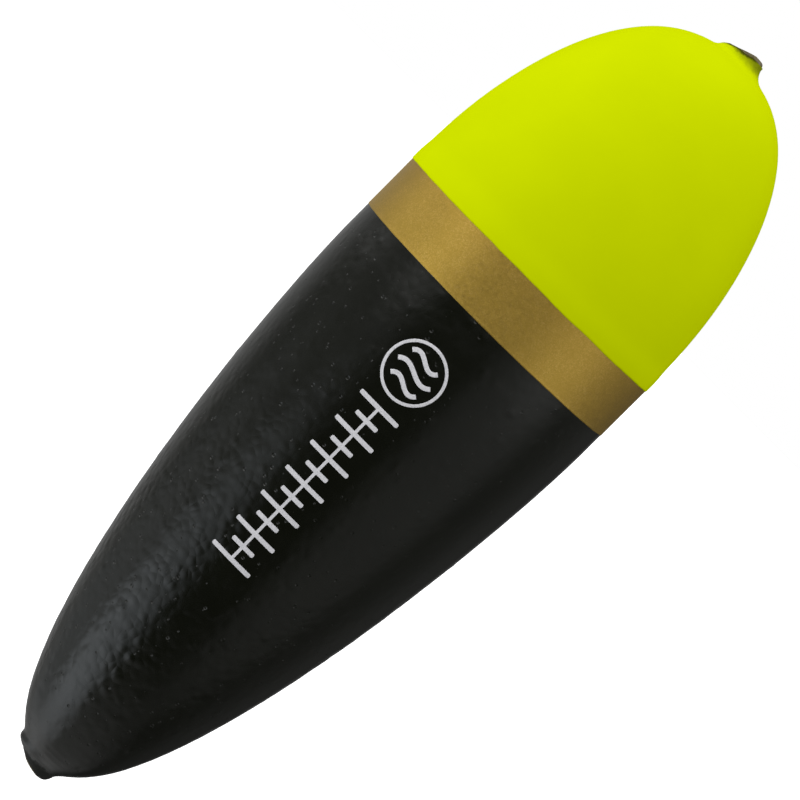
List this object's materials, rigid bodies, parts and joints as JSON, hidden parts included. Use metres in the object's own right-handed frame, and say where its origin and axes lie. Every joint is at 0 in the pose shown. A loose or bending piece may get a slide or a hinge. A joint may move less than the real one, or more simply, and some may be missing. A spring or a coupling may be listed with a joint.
{
  "type": "inline fishing float",
  "caption": "Egg-shaped foam fishing float with a line tube through its axis, painted black and yellow with a gold band between.",
  "frame": {"origin": "centre of the line bore at the end face of the black end", "axes": "+Z along the line bore towards the yellow tip, as the float stands in the water; the side print faces -Y"},
  "size_m": [0.0422, 0.0422, 0.13],
  "materials": {
    "foam": "rigid closed-cell foam, turned",
    "tube": "drawn plastic tube, dull",
    "adhesive": "cured clear adhesive",
    "sealant": "cured sealant bead",
    "primer": "flat white primer",
    "black_paint": "thick gloss enamel with orange peel",
    "gold_paint": "satin metallic gold paint",
    "yellow_paint": "matt fluorescent yellow paint",
    "print_foil": "satin silver transfer foil"
  },
  "bodies": {
    "root": {"foam_core": "foam", "line_tube": "tube", "tube_adhesive": "adhesive", "bottom_sealing_bead": "sealant", "top_sealing_bead": "sealant", "white_primer": "primer", "black_enamel": "black_paint", "gold_band": "gold_paint", "yellow_top_coat": "yellow_paint", "side_print": "print_foil"}
  },
  "joints": []
}
